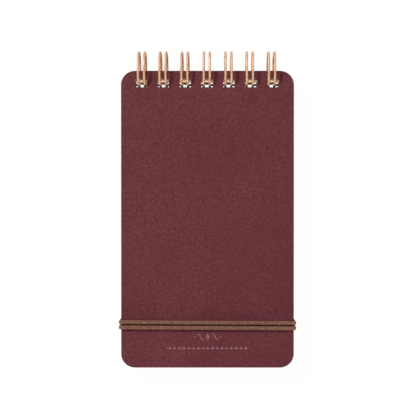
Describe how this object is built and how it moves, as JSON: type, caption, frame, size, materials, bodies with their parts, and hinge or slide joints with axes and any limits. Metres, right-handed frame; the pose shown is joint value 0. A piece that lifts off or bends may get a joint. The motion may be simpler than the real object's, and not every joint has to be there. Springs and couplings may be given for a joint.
{
  "type": "wire-bound pocket memo pad",
  "caption": "Top-bound pocket memo pad with leather-look covers, a twin-loop wire along the short edge and a doubled elastic cord that keeps it shut.",
  "frame": {"origin": "middle of the closed pad's outline, on the surface that it lies on", "axes": "+Z out of the front cover, +Y from the free end to the bound edge, along the pad's length, and +X to the right as the front cover is read"},
  "size_m": [0.0766, 0.1368, 0.0158],
  "materials": {
    "cover_leather": "matt burgundy recycled leather with a fine grain",
    "sheets": "uncoated ivory paper",
    "coated_wire": "satin rose-gold coating on steel wire",
    "elastic": "brown braided cover on round elastic"
  },
  "bodies": {
    "back_cover": {"back_cover": "cover_leather"},
    "bound_sheets": {"page_block": "sheets", "binding_wire": "coated_wire"},
    "front_cover": {"front_cover": "cover_leather"},
    "elastic_band": {"elastic_cord_upper": "elastic", "elastic_cord_lower": "elastic"}
  },
  "joints": [
    {"name": "back_cover_hinge", "type": "hinge", "parent": "back_cover", "child": "bound_sheets", "pos_m": [0, 0.0605, 0.0079], "axis": [-1, 0, 0], "range_deg": [0, 180]},
    {"name": "front_cover_hinge", "type": "hinge", "parent": "bound_sheets", "child": "front_cover", "pos_m": [0, 0.0605, 0.0079], "axis": [-1, 0, 0], "range_deg": [0, 200]},
    {"name": "elastic_band_slide", "type": "slide", "parent": "back_cover", "child": "elastic_band", "axis": [0, -1, 0], "range_m": [0, 0.024]}
  ]
}
